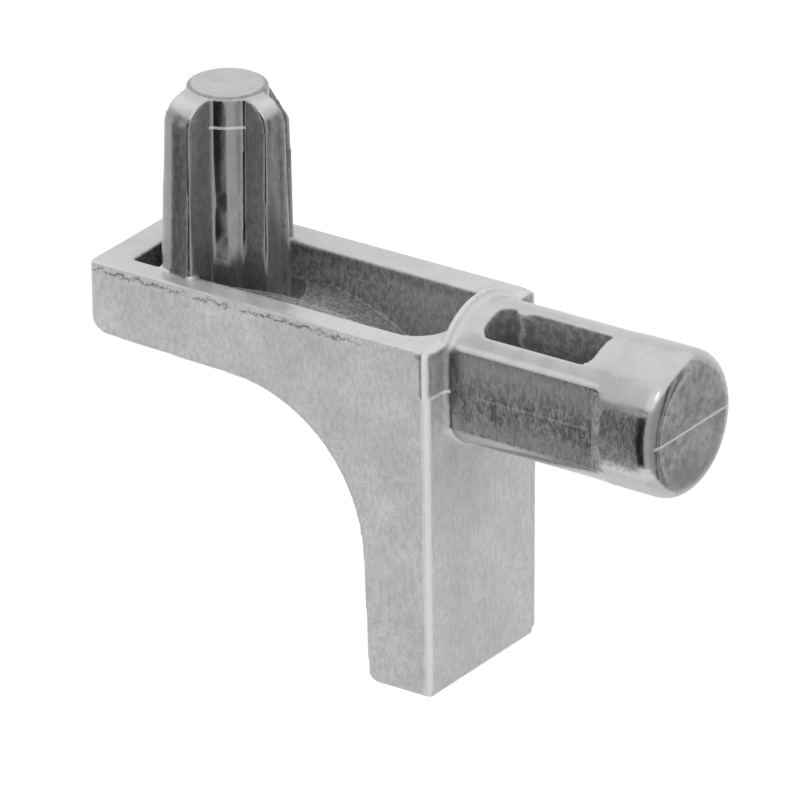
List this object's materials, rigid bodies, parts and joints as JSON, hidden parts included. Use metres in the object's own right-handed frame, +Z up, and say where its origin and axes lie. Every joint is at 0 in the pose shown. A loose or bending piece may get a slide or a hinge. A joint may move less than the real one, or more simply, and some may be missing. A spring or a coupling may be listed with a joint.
{
  "type": "shelf support pin",
  "caption": "Cast L-shaped shelf support with a slotted, flatted 5 mm pin for the cabinet wall and a finned post for the shelf.",
  "frame": {"origin": "on the pin's axis, in the plane of the flat face that stands against the cabinet wall", "axes": "+X along the pin into the wall, +Z up towards the shelf, +Y to the back side, away from the pin's slot"},
  "size_m": [0.0216, 0.0062, 0.0183],
  "materials": {
    "nickel_plate": "bright nickel plate over an as-cast zinc surface"
  },
  "bodies": {
    "root": {"shelf_support": "nickel_plate"}
  },
  "joints": []
}
